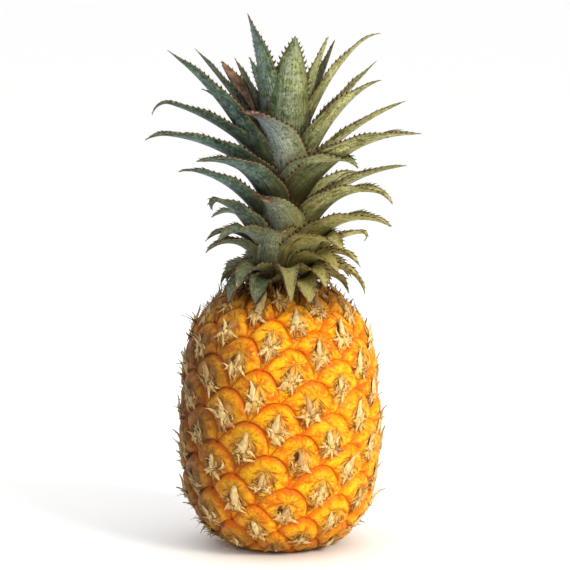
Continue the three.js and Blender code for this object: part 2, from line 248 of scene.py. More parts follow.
def paint_floor(graph):
    grain = graph.noise(graph.place(), 40, 3)
    return {"Base Color": graph.mix(grain, (252.18, 251.04, 249.31), (254.44, 253.31, 251.61))}


def mesh_of(name, points, faces, edges=()):
    mesh = bpy.data.meshes.new(name)
    mesh.from_pydata(np.asarray(points, float).tolist(), edges, faces)
    return mesh


def make_floor():
    corners = [(x * FLOOR_SIZE / 2, y * FLOOR_SIZE / 2, -FLOOR_DROP) for x, y in SQUARE]
    mesh = mesh_of("floor", corners, [(0, 1, 2, 3)])
    mesh.materials.append(sheen_finish("floor_paper", paint_floor, Roughness=0.9))
    floor = in_scene("floor", mesh)


def make_lamp(name, place, size, power, colour):
    data = bpy.data.lights.new(name, "AREA")
    data.size = size
    data.energy = power
    data.color = colour
    look_from(in_scene(name, data), Vector(place))


def make_world(level, overhead, backdrop):
    """Soft light from all sides that grows towards the zenith, and a white backdrop."""
    world = bpy.data.worlds.new("studio")
    world.use_nodes = True
    bpy.context.scene.world = world
    graph = Graph(world.node_tree)
    direction = graph.node("ShaderNodeTexCoord", out="Generated")
    _, _, height = graph.parts(direction)
    strength = level + overhead * height.math("MAXIMUM", height, 0.0)
    sky = {"Color": (0.98, 0.99, 1, 1), "Strength": strength}
    soft = graph.node("ShaderNodeBackground", sky)
    white = graph.node("ShaderNodeBackground", {"Color": (1, 1, 1, 1), "Strength": backdrop})
    seen = graph.node("ShaderNodeLightPath", out="Is Camera Ray")
    both = graph.node("ShaderNodeMixShader", {0: seen, 1: soft, 2: white})
    surface = world.node_tree.nodes["World Output"].inputs["Surface"]
    world.node_tree.links.new(both.socket, surface)


make_floor()
make_lamp("key", (0.85, -0.85, 0.8), 0.4, 13, (1, 0.92, 0.8))
make_lamp("fill", (-1.1, -0.7, 0.45), 0.9, 0.8, (0.85, 0.92, 1))
make_world(0.22, 1.25, 1.0)
bpy.context.scene.view_settings.view_transform = "Standard"

# %% [markdown]
# ## The rind's outline
# The fruit is a turned shape. A smooth curve runs through a few points from its foot
# to its neck along the valleys between the eyes. Distances are measured along it. Past
# either end the rind goes on as a flat disc that shrinks towards the axis, and the cut
# stem sits in a socket in the lower one.

# %% The rind's outline
RIND_PROFILE = [(25, 0), (35.6, 9), (45.8, 24), (50.2, 52), (49.8, 78), (47.2, 103)]
RIND_PROFILE += [(41.2, 117.5), (30.5, 129.5), (15, 136.5)]
RELIEF_FADE = 9  # the eyes grow flat over this distance at both ends
SOCKET_RADIUS = 10.35
SOCKET_HEIGHT = 6.35
SOCKET_STEEPNESS = 6
CURVE_SAMPLES = 60  # between two points of the outline


def spline_through(points):
    """Close points along a smooth curve that passes through the given ones."""
    points = np.array(points, float)
    last = len(points) - 1
    places = np.linspace(0, last, last * CURVE_SAMPLES + 1)
    start = np.minimum(places.astype(int), last - 1)
    t = (places - start)[:, None]
    before = points[np.maximum(start - 1, 0)]
    first = points[start]
    second = points[start + 1]
    after = points[np.minimum(start + 2, last)]
    leave = (second - before) / 2
    arrive = (after - first) / 2
    cubic = 2 * first - 2 * second + leave + arrive
    square = -3 * first + 3 * second - 2 * leave - arrive
    return cubic * t**3 + square * t**2 + leave * t + first


outline = spline_through(RIND_PROFILE)
travelled = np.cumsum(np.linalg.norm(np.diff(outline, axis=0, prepend=outline[:1]), axis=1))
RIND_LENGTH = travelled[-1]
slopes = np.gradient(outline, travelled, axis=0)


def outward(azimuth):
    """Level directions away from the axis. Azimuth 0 faces the viewer, 90 is right."""
    angle = np.radians(azimuth)
    return np.stack([np.sin(angle), -np.cos(angle), np.zeros_like(angle)], axis=-1)


def on_outline(distance):
    """The radius, the height and their slopes at a distance along the outline."""
    values = np.concatenate([outline, slopes], axis=1).T
    return [np.interp(np.clip(distance, 0, RIND_LENGTH), travelled, row) for row in values]


def rind_points(azimuth, distance, height):
    """Places on the rind, in millimetres, at a height over its valleys."""
    azimuth, distance, height = np.broadcast_arrays(azimuth, distance, height)
    inside = np.clip(distance, 0, RIND_LENGTH)
    radius, level, slope_out, slope_up = on_outline(distance)
    rise = height * np.clip(np.minimum(inside, RIND_LENGTH - inside) / RELIEF_FADE, 0, 1)
    disc = radius * np.exp(-np.abs(distance - inside) / radius)
    depth = np.where(distance < 0, np.maximum(SOCKET_RADIUS - disc, 0), 0)
    wall = np.minimum(depth * SOCKET_STEEPNESS, SOCKET_HEIGHT)
    reach = disc + wall / SOCKET_STEEPNESS + slope_up * rise
    points = outward(azimuth) * reach[..., None]
    points[..., 2] = level - slope_out * rise + wall
    return points


def rind_axes(azimuth, distance):
    """The directions across the rind, up it and out of it at one place."""
    out = Vector(outward(azimuth))
    slope_out, slope_up = [float(slope) for slope in on_outline(distance)[2:]]
    up = (slope_out * out + Vector((0, 0, slope_up))).normalized()
    normal = (slope_up * out - Vector((0, 0, slope_out))).normalized()
    return up.cross(normal), up, normal


print("profile", round(RIND_LENGTH, 1), "mm long")

# %% [markdown]
# ## The lattice of eyes
# A pineapple's eyes grow one after another on a single spiral. Each turns by the golden
# angle and climbs a little, and together they stand in eight rows that climb to the
# right and thirteen that climb to the left. So each eye is a diamond whose four corners
# it shares with its neighbours. Two numbers from -1 to 1 give a place in an eye, one
# along each set of rows.

# %% The lattice of eyes
GOLDEN_ANGLE = 137.508
EYE_CLIMB = 1.28  # along the outline, from one eye to the next on the spiral
FRONT_EYE_AT = 79  # the eye in the middle of the photograph
FRONT_EYE_AZIMUTH = -1
RIGHT_ROWS = 8
LEFT_ROWS = 13
ALL_ROWS = RIGHT_ROWS + LEFT_ROWS
SOCKET_TURNS = 21  # more eyes at the foot, so that the disc reaches into the socket
ARCH = 2.6  # how far the middle of an eye's sides bends upwards
CORNER_DROP = 2.2  # how far its corners sink, which makes its upper rim round
CORNER_SLIP = -2.2  # how far they turn, in degrees, which puts its top over its middle
# Slow waves that shift the eyes: how far, how many round the fruit, and over what climb
WAVES_ROUND = ((0.8, 5, 8), (0.5, -9, 4))
WAVES_UP = ((0.6, 4, 9), (0.4, 11, -5))
EYES_FROM = 4  # the lowest whole eye is past here
EYES_END = 6  # and the highest is this far short of the outline's end
LOWEST_EYE = math.ceil(-FRONT_EYE_AT / EYE_CLIMB - ALL_ROWS / 2)
HIGHEST_EYE = math.floor((RIND_LENGTH - FRONT_EYE_AT) / EYE_CLIMB + ALL_ROWS / 2)


def turn_of(eyes):
    """The turn of a step over some eyes, between -180 and 180 degrees."""
    return (eyes * GOLDEN_ANGLE + 180) % 360 - 180


def eye_place(number, right, left):
    """The azimuth and distance of a place in an eye. The sides arch upwards."""
    turn = right * turn_of(RIGHT_ROWS) + left * turn_of(LEFT_ROWS)
    climb = number + (right * RIGHT_ROWS + left * LEFT_ROWS) / 2
    arch = ARCH * ((1 - left**2) * right**6 + (1 - right**2) * left**6)
    corner = (right * left) ** 4
    azimuth = FRONT_EYE_AZIMUTH + number * GOLDEN_ANGLE + turn / 2 + CORNER_SLIP * corner
    distance = FRONT_EYE_AT + climb * EYE_CLIMB + arch - CORNER_DROP * corner
    angle = np.radians(azimuth)
    slips = [
        sum(size * np.sin(count * angle + distance / reach) for size, count, reach in waves)
        for waves in (WAVES_ROUND, WAVES_UP)
    ]
    return azimuth + slips[0], distance + slips[1]


def is_whole(number):
    return EYES_FROM < FRONT_EYE_AT + number * EYE_CLIMB < RIND_LENGTH - EYES_END


whole_eyes = [n for n in range(LOWEST_EYE, HIGHEST_EYE + 1) if is_whole(n)]
print(len(whole_eyes), "eyes in view")

# %% [markdown]
# ## The skin of the fruit
# The relief of an eye is a formula of its two numbers. A steep rounded shoulder rises
# from the seam, the upper half is smooth and swollen, and the lower half is the dry
# wrinkled base of a bract that runs into a ridge towards the middle, with a pit beside
# it. One grid for each eye, which shares its border points with the next, gives a
# single closed skin. Each corner of a face also keeps its place in the eye as a texture
# place, and a number drawn for its eye, so that the colours can follow.

# %% The relief of an eye
EYE_STEPS = 24
BORDER_HEIGHT = -1.0
SHOULDER_HEIGHT = 2.1
LIP_HEIGHT = 0.5
RIDGE_HEIGHT = 0.6
PIT_DEPTH = 0.8
PORE_HEIGHT = 0.05
SEED = 11
EYE_DRAWS = 400  # more than the eyes
WRINKLES = ((9, 0.26), (14, 0.18), (19, 0.1))  # how many around an eye, and how high
random_eyes = np.random.default_rng(SEED)
eye_phase = random_eyes.uniform(0, 2 * math.pi, (EYE_DRAWS, 4))
eye_bulge = random_eyes.normal(0, 0.22, EYE_DRAWS)


def between(low, high, share):
    return low + (high - low) * share


def smooth(value, low, high):
    t = np.clip((value - low) / (high - low), 0, 1)
    return t * t * (3 - 2 * t)


def bell(value, middle, width):
    return np.exp(-(((value - middle) / width) ** 2))


def eye_relief(number, right, left):
    """Height over the valleys, in millimetres."""
    up = (right + left) / 2
    side = (right - left) / 2
    top = smooth(up, -0.7, 0.45)
    power = between(3, 8, top)
    inside = (1 - np.abs(right) ** power) * (1 - np.abs(left) ** power)
    inside = inside * (1 - 0.8 * smooth(up, 0.5, 0.95))
    dome = np.maximum(inside, 0) ** between(0.8, 0.5, top)
    reach = np.maximum(np.abs(right), np.abs(left))
    index = number - LOWEST_EYE + SOCKET_TURNS
    phase = eye_phase[index]
    height = BORDER_HEIGHT + (SHOULDER_HEIGHT - BORDER_HEIGHT + eye_bulge[index]) * dome
    height = height + LIP_HEIGHT * bell(reach, 0.76, 0.16) * smooth(up, -0.1, 0.4)
    ridge = bell(side, 0.02, 0.15) * smooth(up, -0.95, -0.3) * (1 - smooth(up, 0.0, 0.3))
    height = height + RIDGE_HEIGHT * ridge
    pits = bell(side, -0.2, 0.09) * bell(up, 0.05, 0.22)
    pits = pits + 0.5 * bell(side, 0.22, 0.08) * bell(up, 0, 0.2)
    height = height - PIT_DEPTH * pits
    around = np.arctan2(side, 0.35 - up)
    below = smooth(0.1 - up, -0.05, 0.25) * dome
    for (count, size), shift in zip(WRINKLES, np.moveaxis(phase, -1, 0)):
        wave = np.sin(count * around + shift + 2 * np.sin(3 * up + shift))
        height = height + size * below * wave
    pores = np.sin(31 * right + phase[..., 3]) * np.sin(27 * left)
    return height + PORE_HEIGHT * pores * dome


print("relief from", BORDER_HEIGHT, "to", SHOULDER_HEIGHT, "mm")

# %% The skin of the fruit
def finish_piece(name, mesh, material, node):
    """Makes a mesh a finished piece that stands for a node, on the part's one body."""
    piece = in_scene(name, mesh)
    mesh.materials.clear()
    mesh.materials.append(material)
    mesh.shade_smooth()
    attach(piece, "root")
    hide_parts(node)
    mesh.calc_loop_triangles()
    print(name, len(mesh.loop_triangles), "triangles")


def store(mesh, name, values, domain="POINT", kind="FLOAT"):
    attribute = mesh.attributes.new(name, kind, domain)
    key = {"FLOAT": "value", "FLOAT_VECTOR": "vector"}[kind]
    attribute.data.foreach_set(key, np.asarray(values, np.float32).ravel())


def skin_mesh():
    k = EYE_STEPS
    first = LOWEST_EYE - SOCKET_TURNS
    rows = np.arange(first, HIGHEST_EYE + ALL_ROWS + 1)
    n, i, j = np.meshgrid(rows, np.arange(k), np.arange(k), indexing="ij")
    right = 2 * i / k - 1
    left = 2 * j / k - 1
    height = eye_relief(n, right, left)
    points = rind_points(*eye_place(n, right, left), height).reshape(-1, 3) * MM

    def index(n, i, j):
        owner = n + RIGHT_ROWS * (i == k) + LEFT_ROWS * (j == k)
        return ((owner - first) * k + i % k) * k + j % k

    cells = np.arange(first, HIGHEST_EYE + 1)
    n, i, j = np.meshgrid(cells, np.arange(k), np.arange(k), indexing="ij")
    corners = [(i, j), (i + 1, j), (i + 1, j + 1), (i, j + 1)]
    faces = np.stack([index(n, a, b).ravel() for a, b in corners], axis=1)
    used, faces = np.unique(faces, return_inverse=True)
    mesh = mesh_of("fruit_skin", points[used], faces.reshape(-1, 4).tolist())
    places = [np.stack([a / k, b / k], axis=-1).reshape(-1, 2) for a, b in corners]
    places = np.stack(places, axis=1).astype(np.float32)
    mesh.uv_layers.new(name="eye").data.foreach_set("uv", places.ravel())
    draws = np.random.default_rng(SEED + 1).uniform(0, 1, len(cells))
    store(mesh, "eye_draw", np.repeat(draws, k * k), "FACE")
    return mesh


def close_and_face_out(mesh):
    """Fills any open rims, and turns every face outwards."""
    bm = bmesh.new()
    bm.from_mesh(mesh)
    rims = [edge for edge in bm.edges if edge.is_boundary]
    bmesh.ops.holes_fill(bm, edges=rims, sides=0)
    bmesh.ops.recalc_face_normals(bm, faces=bm.faces)
    bm.to_mesh(mesh)
    bm.free()


skin = skin_mesh()
close_and_face_out(skin)
print("skin", len(skin.vertices), "points")

# %% [markdown]
# ## The finish of the rind
# A ripe eye is glossy and golden, deeper orange along its upper rim, with a thin brown
# seam round it, and pale yellow specks painted on as small glints of highlight. Its lower
# half is the dry papery base of a bract: a fan of pale and tan streaks with brown cracks,
# and the pit beside its tongue is painted dark as shade. A formula of the place in the
# eye draws all of these, so they stay where they belong on every eye, and the noise in
# them is moved by the number drawn for the eye, so that no two are alike. The left of
# this fruit is less ripe and duller, and it is also painted darker there as shade, away
# from the warm light.

# %% The finish of the rind
def eye_axes(graph):
    """The place in the eye: up it, across it, and how near its border it is."""
    u, v, _ = graph.parts(graph.node("ShaderNodeUVMap", uv_map="eye"))
    right = 2 * u - 1
    left = 2 * v - 1
    up = (right + left) * 0.5
    corner = 1 - 0.6 * graph.rise(up, 0.5, 0.95)
    border = 1 - (1 - abs(right) ** 7) * (1 - abs(left) ** 7) * corner
    return up, (right - left) * 0.5, border


def paint_rind(graph):
    place = graph.place()
    across, _, height = graph.parts(place)
    up, side, border = eye_axes(graph)
    [draw] = graph.attributes("eye_draw")
    fall = 0.4 - up
    spread = (side * side + fall * fall) ** 0.5

    def rays(wide, along, shift, *grain):
        """Noise that is drawn out in rays from the middle of the eye."""
        ray = [way / spread * wide for way in (side, fall)]
        return graph.noise(graph.vector(*ray, spread * along + draw * 30 + shift), *grain)

    streaks = rays(1, 0.5, 0, 4.5, 4, 0.6)
    threads = rays(1, 0.45, 5, 3.6, 3, 0.55)
    folds = rays(0.7, 2.2, 9, 3, 3)
    blotches = graph.noise(place, 190, 4, 0.6)
    specks = graph.noise(place, 620, 3, 0.6)
    broad = graph.noise(place, 45, 2)

    # The right of the fruit is ripe gold. The left is duller and darker, partly less ripe and
    # partly painted shade away from the key light.
    ripe_lit_side = graph.rise(across + (broad - 0.5) * 0.03, -0.05, 0.002)
    shine = blotches * 0.5 + streaks * 0.5 + (draw - 0.5) * 0.07
    gold = graph.mix(graph.rise(shine, 0.38, 0.62), (214, 106, 0), (255, 188, 10))
    # Pale yellow specks on the gold are painted glints of highlight.
    gold = graph.mix(graph.rise(specks, 0.56, 0.66) * 0.5, gold, (255, 214, 84))
    dull_shaded_side = graph.mix(graph.rise(blotches, 0.35, 0.65), (66, 44, 16), (146, 92, 26))
    rim = border + 0.3 * up + (streaks - 0.5) * 0.9 + (broad - 0.5) * 0.8 + (draw - 0.5) * 0.3
    rim = graph.rise(rim, 0.4, 1.05) * (0.9 - 0.35 * graph.rise(across, 0.005, 0.04))
    spots = graph.rise(specks, 0.43, 0.33) * graph.rise(blotches, 0.46, 0.56)
    patch = ((side / 0.5) ** 2 + ((up + 0.2) / 0.66) ** 2) ** 0.5
    papery = graph.rise(patch + (streaks - 0.5) * 2.4, 1.05, 0.45)
    tan = graph.mix(graph.rise(streaks, 0.4, 0.6), (150, 78, 14), (248, 206, 112))
    core = graph.rise(patch + (threads - 0.5) * 2.2, 0.8, 0.3)
    near = graph.rise(patch, 1.15, 0.6)
    cracks = graph.rise(abs(threads - 0.5), 0.035, 0.01) * near * graph.rise(blotches, 0.42, 0.55)
    creases = graph.rise(abs(folds - 0.52), 0.045, 0.015) * graph.rise(spread, 0.35, 0.55) * near
    # Painted shade: the pit beside the tongue is darkened as a hollow.
    pit_shade = ((side + 0.2) / 0.1) ** 2 + ((up - 0.05) / 0.22) ** 2
    pit_shade = graph.rise(pit_shade + (streaks - 0.5) * 2 + draw, 1.4, 0.4)
    seam = graph.rise(border + (blotches - 0.5) * 0.1, 0.88, 0.99)
    foot = graph.rise(height + (blotches - 0.5) * 0.02, 0.02, 0.002)
    neck = graph.rise(height + (blotches - 0.5) * 0.012, 0.121, 0.135)
    colour = graph.layers(
        graph.mix(ripe_lit_side, dull_shaded_side, gold),
        (rim, graph.mix(ripe_lit_side, (112, 54, 10), (232, 104, 0))),
        (spots * (0.8 - 0.3 * ripe_lit_side), (108, 50, 4)),
        (papery * 0.8, graph.mix((1 - ripe_lit_side) * 0.75, tan, (92, 76, 58))),
        (core * 0.5, graph.mix(ripe_lit_side, (98, 74, 46), (226, 176, 96))),
        (cracks * 0.8, (96, 44, 6)),
        (creases * 0.75, (84, 42, 10)),
        (pit_shade * (0.95 - 0.6 * draw), (70, 38, 12)),
        (seam * 0.8, graph.mix(ripe_lit_side, (92, 44, 8), (186, 72, 0))),
        (foot * 0.5, (120, 84, 40)),
        (neck * 0.8, (92, 58, 16)),
    )
    gloss = 0.42 + 0.33 * papery + 0.12 * blotches
    ruffle = papery * streaks * 0.8 - 0.6 * (cracks + creases) + blotches * 0.3
    ruffle = ruffle + graph.noise(place, 900, 2) * 0.12
    return {"Base Color": colour, "Roughness": gloss, "Normal": graph.bump(0.7, 0.8, ruffle)}


rind_finish = sheen_finish("golden_rind", paint_rind, Specular_IOR_Level=0.14)
finish_piece("fruit_skin", skin, rind_finish, "fruit")

# %% [markdown]
# ## Dry bracts
# From the middle of each eye stands the tip of its bract, a stiff papery tongue with
# a keel and a torn edge. Thin scraps stand round it, and below it the bract has dried
# and split into ribbons that fan downwards. On the shaggy left some ends are dark and
# curled. A few flaps of different curl, twist and bend are modelled once for each of
# these. Geometry Nodes then put one on each of a cloud of points, which keep the
# direction and the size of their flap, and pick which one it is. Each flap is a closed
# sheet with few faces.

# %% The shapes of a dry bract
FLAP_STEPS = 6
FLAP_THICK = 0.25
POINT_WIDTH = 0.12  # half of it, which keeps a point from closing to nothing
FLAP_KINDS = 6
FLAP_SHAPES = {  # the length, the width, the range of the curl and the most lean
    "tongue": (11.5, 4.0, (0.08, 0.35), 0.2),
    "scrap": (5.5, 1.5, (0.0, 0.5), 0.5),
    "strip": (5.8, 2.5, (-0.2, 0.1), 0.6),
    "curl": (5.0, 1.5, (0.6, 1.4), 0.5),
}


def flap_mesh(name, length, width, curl, twist, keel, lean, torn):
    """A pointed sheet that lies along +Y with its face to +Z. Sizes in millimetres."""
    rows = []
    for step in range(FLAP_STEPS + 1):
        t = step / FLAP_STEPS
        swell = 1 + 0.3 * math.sin(math.pi * t)
        half = max(POINT_WIDTH, width / 2 * (1 - t) ** 0.85 * swell)
        turn = twist * t * t
        y = length * (t - 0.25 * abs(curl) * t**2)
        z = length * curl * t**3
        x = lean * length * t**2
        for place in (-1, 0, 1):
            sunk = keel * half * (1 - abs(place))
            out = half * place * (1 + torn[step][place])
            rows.append((x + out * math.cos(turn), y, z + sunk + out * math.sin(turn)))
    front = np.array(rows)
    behind = front - (0, 0, FLAP_THICK)
    points = np.concatenate([front, behind]) * MM
    count = len(front)
    faces = []
    for step in range(FLAP_STEPS):
        for place in (0, 1):
            a = step * 3 + place
            quad = (a, a + 1, a + 4, a + 3)
            faces += [quad, tuple(i + count for i in reversed(quad))]
    rim = [3 * s for s in range(FLAP_STEPS, -1, -1)] + [1, 2]
    rim += [3 * s + 2 for s in range(1, FLAP_STEPS + 1)] + [3 * FLAP_STEPS + 1]
    for a, b in zip(rim, rim[1:] + rim[:1]):
        faces.append((b, a, a + count, b + count))
    mesh = mesh_of(name, points, faces)
    along = np.repeat(np.linspace(0, 1, FLAP_STEPS + 1), 3)
    store(mesh, "along", np.tile(along, 2))
    store(mesh, "keel", np.tile([0, 1, 0], 2 * (FLAP_STEPS + 1)))
    return mesh


def make_flaps(name, draws, length, width, curl, lean):
    """A hidden collection of flaps that differ in curl, twist and lean."""
    kept = bpy.data.collections.new(name)
    for kind in range(FLAP_KINDS):
        shape = {
            "length": length * draws.uniform(0.8, 1.2),
            "width": width * draws.uniform(0.75, 1.2),
            "curl": draws.uniform(*curl),
            "twist": draws.uniform(-0.9, 0.9),
            "keel": draws.uniform(0.35, 0.9),
            "lean": draws.uniform(-lean, lean),
            "torn": draws.uniform(-0.4, 0.3, (FLAP_STEPS + 1, 3)),
        }
        mesh = flap_mesh(f"{name}_{kind}", **shape)
        kept.objects.link(bpy.data.objects.new(f"{name}_{kind}", mesh))
    return kept


flap_draws = np.random.default_rng(SEED + 2)
flaps = {name: make_flaps(name, flap_draws, *shape) for name, shape in FLAP_SHAPES.items()}

# %% Geometry Nodes that scatter shapes over points
def tree_of(name, **inputs):
    """A Geometry Nodes tree's Graph, and its named inputs as wires."""
    tree = bpy.data.node_groups.new(name, "GeometryNodeTree")
    sockets = {"Geometry": "Geometry", **inputs}
    for title, kind in sockets.items():
        tree.interface.new_socket(title, in_out="INPUT", socket_type="NodeSocket" + kind)
    tree.interface.new_socket("Geometry", in_out="OUTPUT", socket_type="NodeSocketGeometry")
    graph = Graph(tree)
    given = tree.nodes.new("NodeGroupInput")
    return graph, {title: Wire(graph, given.outputs[title]) for title in sockets}


def named(graph, title, kind):
    return graph.node("GeometryNodeInputNamedAttribute", {"Name": title}, data_type=kind)


def random_share(graph, low, high, seed):
    sockets = {2: low, 3: high, "Seed": seed}
    return graph.node("FunctionNodeRandomValue", sockets, 1, data_type="FLOAT")


def finish_tree(graph, value, sockets):
    """Puts instances on points, with a tint each, makes them real and gives the finish."""
    instances = graph.node("GeometryNodeInstanceOnPoints", sockets)
    settings = {"data_type": "FLOAT", "domain": "INSTANCE"}
    tint = random_share(graph, 0.0, 1.0, value["Seed"])
    sockets = {"Geometry": instances, "Name": "tint", "Value": tint}
    tinted = graph.node("GeometryNodeStoreNamedAttribute", sockets, **settings)
    real = graph.node("GeometryNodeRealizeInstances", {"Geometry": tinted})
    sockets = {"Geometry": real, "Material": value["Finish"]}
    graph.node("NodeGroupOutput", {0: graph.node("GeometryNodeSetMaterial", sockets)})
    return graph.tree


def scatter_tree():
    inputs = {"Shapes": "Collection", "Size": "Float", "Seed": "Int", "Finish": "Material"}
    graph, value = tree_of("scatter_bracts", **inputs)
    sockets = {"Collection": value["Shapes"], "Separate Children": True}
    shapes = graph.node("GeometryNodeCollectionInfo", sockets, transform_space="ORIGINAL")
    sockets = {4: 0, 5: FLAP_KINDS - 1, "Seed": value["Seed"]}
    which = graph.node("FunctionNodeRandomValue", sockets, 2, data_type="INT")
    sockets = {
        "Points": value["Geometry"],
        "Instance": shapes,
        "Pick Instance": True,
        "Instance Index": which,
        "Rotation": named(graph, "facing", "FLOAT_VECTOR"),
        "Scale": named(graph, "size", "FLOAT") * value["Size"],
    }
    return finish_tree(graph, value, sockets)


def grown(name, mesh, tree, **values):
    """What a tree makes of a mesh, as a plain mesh."""
    seed_object = in_scene(name + "_seed", mesh)
    modifier = seed_object.modifiers.new("grow", "NODES")
    modifier.node_group = tree
    for item in tree.interface.items_tree:
        if item.item_type == "SOCKET" and item.in_out == "INPUT" and item.name in values:
            modifier[item.identifier] = values[item.name]
    depsgraph = bpy.context.evaluated_depsgraph_get()
    made = bpy.data.meshes.new_from_object(seed_object.evaluated_get(depsgraph))
    seed_object.modifiers.clear()
    bpy.data.objects.remove(seed_object)
    made.name = name
    return made


scatter = scatter_tree()
print("scatter tree", len(scatter.nodes), "nodes")

# %% [markdown]
# ## The finish of the dry bracts
# Dry bract is pale and papery in the middle and brown where it is torn or scorched,
# with fine fibres. The colour follows how far along the flap a place is, and a tint
# drawn for each flap makes some creamy, some tan and some grey-brown.

# %% The finish of the dry bracts
def paint_bract(graph, dark, light, tip):
    place = graph.place()
    across, _, height = graph.parts(place)
    along, keel, tint = graph.attributes("along", "keel", "tint")
    fibres = graph.noise(graph.scaled(place, 900, 900, 250), 1, 3, 0.6)
    patches = graph.noise(place, 260, 3)
    scorched = graph.rise(along + (patches - 0.5) * 0.9, 0.75, 1.05)
    colour = graph.layers(
        graph.mix(graph.rise(tint + (patches - 0.5) * 0.7, -0.2, 0.7), dark, light),
        (keel * 0.35, light),
        (graph.rise(fibres, 0.55, 0.35) * 0.5, dark),
        (scorched * 0.8, tip),
        # Grey-brown on the left of the fruit: partly the duller side, partly painted shade.
        (graph.rise(across, -0.022, -0.048) * 0.6, (98, 84, 66)),
        (graph.rise(height, 0.118, 0.132) * 0.6, (96, 66, 32)),
    )
    normal = graph.bump(0.5, 0.3, fibres)
    return {"Base Color": colour, "Roughness": 0.6 + 0.25 * fibres, "Normal": normal}


BRACT_COLOURS = {  # dark, light and at the tip
    "pale": ((158, 100, 40), (232, 208, 146), (74, 44, 20)),
    "tan": ((124, 68, 20), (236, 200, 130), (176, 104, 28)),
    "brown": ((64, 42, 20), (178, 122, 58), (48, 32, 18)),
}


def bract_finish(kind):
    def paint(graph):
        return paint_bract(graph, *BRACT_COLOURS[kind])

    return sheen_finish(f"{kind}_dry_bract", paint, Specular_IOR_Level=0.2)


bract_finishes = {kind: bract_finish(kind) for kind in BRACT_COLOURS}
print("bract finishes", list(bract_finishes))

# %% The bracts of the eyes
def scatter_piece(name, seats, kind, colours, seed):
    """Puts flaps of a kind on seats, as a piece. A seat is (place, up, out, size)."""
    mesh = mesh_of(name, [place for place, *_ in seats], [])
    turns = []
    for _, up, out, _ in seats:
        side = up.cross(out).normalized()
        level = out.cross(side).normalized()
        turns.append(Matrix((side, level, out)).transposed().to_euler())
    store(mesh, "facing", [tuple(turn) for turn in turns], kind="FLOAT_VECTOR")
    store(mesh, "size", [size for *_, size in seats])
    finish = bract_finishes[colours]
    values = {"Shapes": flaps[kind], "Size": 1.0, "Seed": seed, "Finish": finish}
    finish_piece(name, grown(name, mesh, scatter, **values), finish, "fruit")


def seat(spot, height, turn, lift, sunk, size):
    """A seat for a flap turned away from straight up, lifted off the rind and sunk in it."""
    place = Vector(rind_points(*spot, height)) * MM
    _, up, out = rind_axes(*spot)
    along = Matrix.Rotation(turn, 3, out) @ up
    along, face = (along + out * lift).normalized(), (out - along * lift).normalized()
    return place - out * sunk * MM, along, face, size


def eye_seat(number, up, side, turn, lift, size):
    """A seat at a place in an eye, up it and across it from its middle."""
    corner = (number, up + side, up - side)
    height = eye_relief(*[np.array(value) for value in corner])
    return seat(eye_place(*corner), height, turn, lift, EYE_SINK, size)


def drawn(limits):
    return bract_draws.uniform(*limits).tolist()


EYE_SINK = 0.35
SHAGGY_SIDE = -28 * MM  # the less ripe left of the fruit has more and longer scraps
SHAGGY_SIZE = 1.4
SCRAPS_PER_EYE = 3
SHAGGY_SCRAPS = 7
SHAGGY_CURLS = 2  # dark curled ends on the shaggy side
STRIPS_PER_EYE = 8
STRIP_FAN = 1.3
STRIP_SPREAD = 0.16
TONGUE_AT = -0.22
HANGING_ROOM = 7.5 * MM  # what hangs down needs this much room over the floor
# What is drawn for each flap, as the least and the most of
TONGUE_LIMITS = ((-0.3, -0.04, -0.06, 0.7), (0.3, 0.1, 0.06, 1.15))  # turn, lift, side, size
# up, side, turn, lift and size
SCRAP_LIMITS = ((-0.45, -0.25, -0.5, 0, 0.5), (-0.1, 0.25, 0.5, 0.2, 1.1))
CURL_LIMITS = ((-0.4, -0.3, -0.9, 0, 0.5), (0, 0.3, 0.9, 0.5, 1.3))
STRIP_LIMITS = ((-0.4, -0.35, -0.2, 0.5), (-0.1, 0.35, 0.0, 1.25))  # up, turn, lift, size
EYE_PIECES = {  # the piece of each kind of flap, and its colours
    "tongue": ("eye_bracts", "pale"),
    "scrap": ("eye_scraps", "pale"),
    "strip": ("eye_strips", "tan"),
    "curl": ("eye_curls", "brown"),
}
bract_draws = np.random.default_rng(SEED + 3)
eye_seats = {kind: [] for kind in EYE_PIECES}
for n in whole_eyes:
    turn, lift, side, size = drawn(TONGUE_LIMITS)
    tongue = eye_seat(n, TONGUE_AT, side, turn, lift, size)
    eye_seats["tongue"].append(tongue)
    shaggy = tongue[0].x < SHAGGY_SIDE
    longer = SHAGGY_SIZE if shaggy else 1
    for _ in range(SHAGGY_SCRAPS if shaggy else SCRAPS_PER_EYE):
        up, side, turn, lift, size = drawn(SCRAP_LIMITS)
        side *= longer
        scrap = eye_seat(n, up, side, turn - 2 * side, lift, size * longer)
        eye_seats["scrap"].append(scrap)
    for _ in range(SHAGGY_CURLS if shaggy else 0):
        eye_seats["curl"].append(eye_seat(n, *drawn(CURL_LIMITS)))
    for order in range(STRIPS_PER_EYE):
        fan = between(-STRIP_FAN, STRIP_FAN, (order + 0.5) / STRIPS_PER_EYE)
        up, turn, lift, size = drawn(STRIP_LIMITS)
        side = STRIP_SPREAD * math.sin(fan)
        strip = eye_seat(n, up, side, math.pi + fan + turn, lift, size)
        eye_seats["strip"].append(strip)

for kind in ("curl", "strip"):
    eye_seats[kind] = [at for at in eye_seats[kind] if at[0].z > HANGING_ROOM]
for kind, (name, colours) in EYE_PIECES.items():
    scatter_piece(name, eye_seats[kind], kind, colours, SEED)

# %% [markdown]
# ## Bracts round the neck and the foot
# The eyes end in a thick ruff of small dry leaves under the crown, and in a ring of
# short dark spikes at the foot. Both use the same tree, with seats drawn at random in a
# band of the outline.

